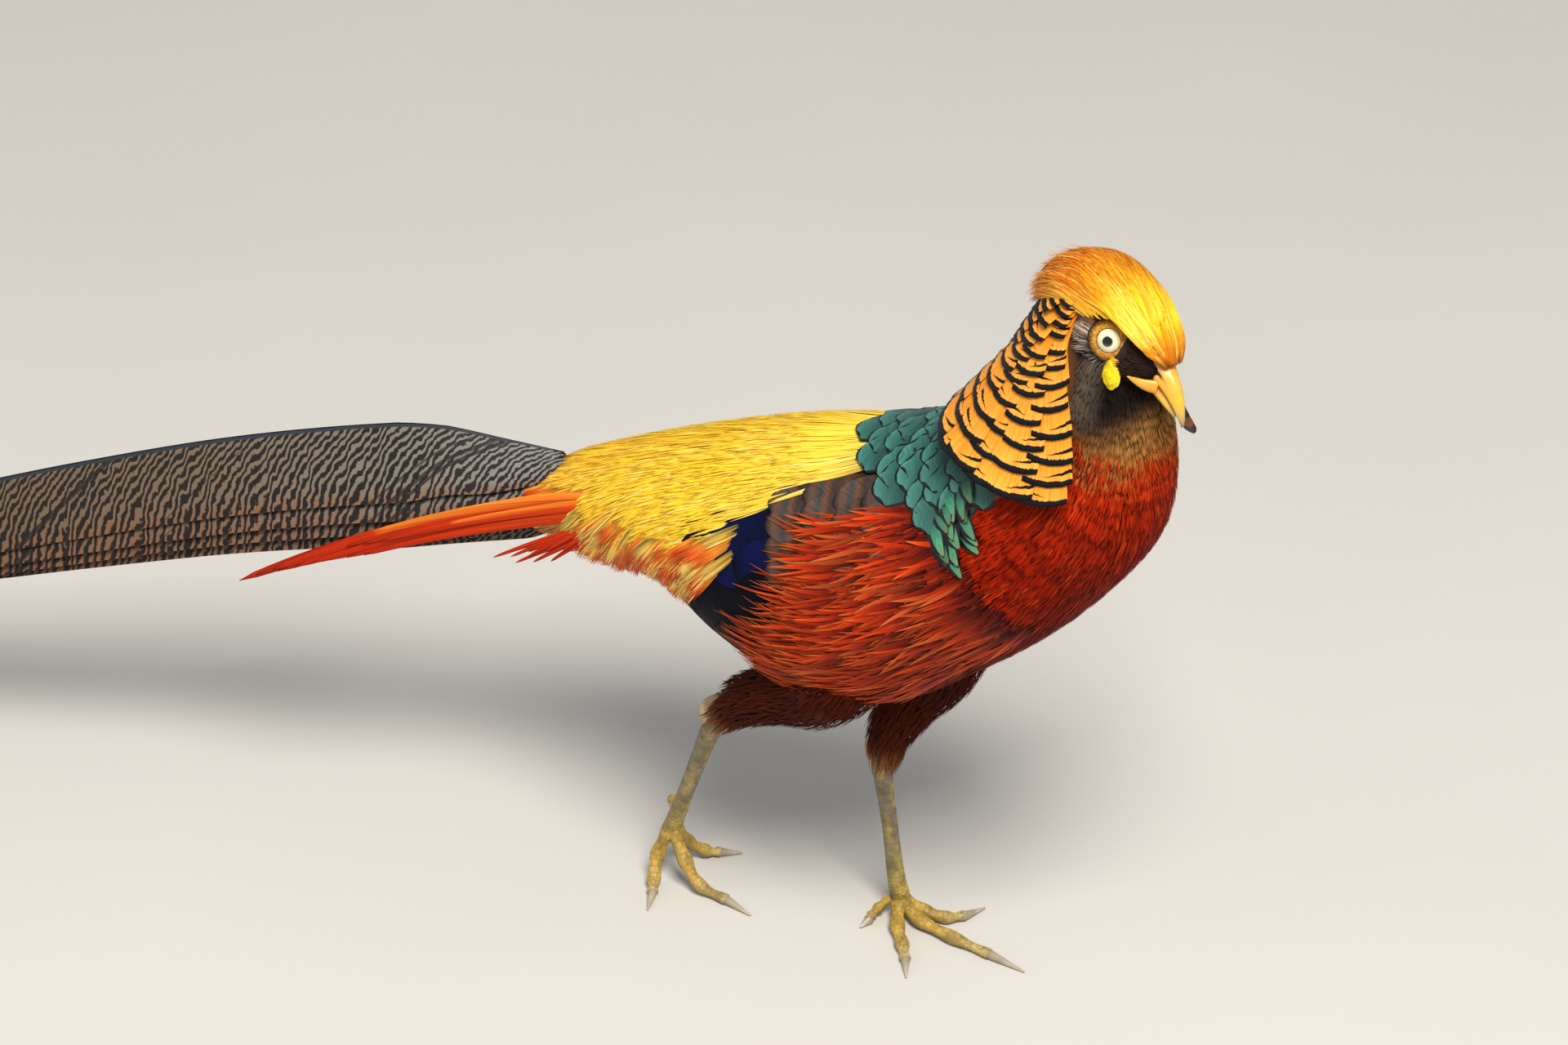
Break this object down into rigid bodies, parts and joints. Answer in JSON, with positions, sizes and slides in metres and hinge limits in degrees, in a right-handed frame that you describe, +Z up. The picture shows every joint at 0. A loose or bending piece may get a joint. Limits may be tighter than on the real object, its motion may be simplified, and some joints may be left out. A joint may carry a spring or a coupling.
{
  "type": "bird figure",
  "caption": "Male golden pheasant in a slow walk, head turned to its right, with a full crest, barred cape and long tail held just over the floor.",
  "frame": {"origin": "on the floor, under the middle of the bounding box", "axes": "+X the way the body faces, +Y its left, +Z up"},
  "size_m": [0.9102, 0.2611, 0.3612],
  "materials": {
    "bill_horn": "smooth horn, faintly glossy",
    "blue_wing": "plumage, soft sheen",
    "brown_barred": "plumage, soft sheen",
    "brown_face": "plumage, soft sheen",
    "chestnut_plumage": "plumage, soft sheen",
    "claw_horn": "smooth horn",
    "eye": "wet and glossy",
    "gold_silk": "plumage, soft sheen",
    "green_scaled": "plumage, soft sheen",
    "leg_scales": "matt horny scales",
    "orange_barred": "plumage, soft sheen",
    "rust_throat": "plumage, soft sheen",
    "scarlet_plumage": "plumage, soft sheen",
    "wattle_skin": "matt bare skin",
    "yellow_hackle": "plumage, soft sheen"
  },
  "bodies": {
    "root": {"head": "brown_face", "bill_upper": "bill_horn", "bill_lower": "bill_horn", "eye_left": "eye", "wattle_left": "wattle_skin", "eye_right": "eye", "wattle_right": "wattle_skin", "crest": "gold_silk", "torso": "scarlet_plumage", "neck": "rust_throat", "mantle": "green_scaled", "cape": "orange_barred", "rump": "yellow_hackle", "tail": "brown_barred", "wing_left": "blue_wing", "flank_left": "scarlet_plumage", "tail_coverts_left": "scarlet_plumage", "thigh_left": "chestnut_plumage", "shank_left": "leg_scales", "toe_outer_left": "leg_scales", "claw_outer_left": "claw_horn", "toe_middle_left": "leg_scales", "claw_middle_left": "claw_horn", "toe_inner_left": "leg_scales", "claw_inner_left": "claw_horn", "toe_hind_left": "leg_scales", "claw_hind_left": "claw_horn", "wing_right": "blue_wing", "flank_right": "scarlet_plumage", "tail_coverts_right": "scarlet_plumage", "thigh_right": "chestnut_plumage", "shank_right": "leg_scales", "toe_outer_right": "leg_scales", "claw_outer_right": "claw_horn", "toe_middle_right": "leg_scales", "claw_middle_right": "claw_horn", "toe_inner_right": "leg_scales", "claw_inner_right": "claw_horn", "toe_hind_right": "leg_scales", "claw_hind_right": "claw_horn"}
  },
  "joints": []
}
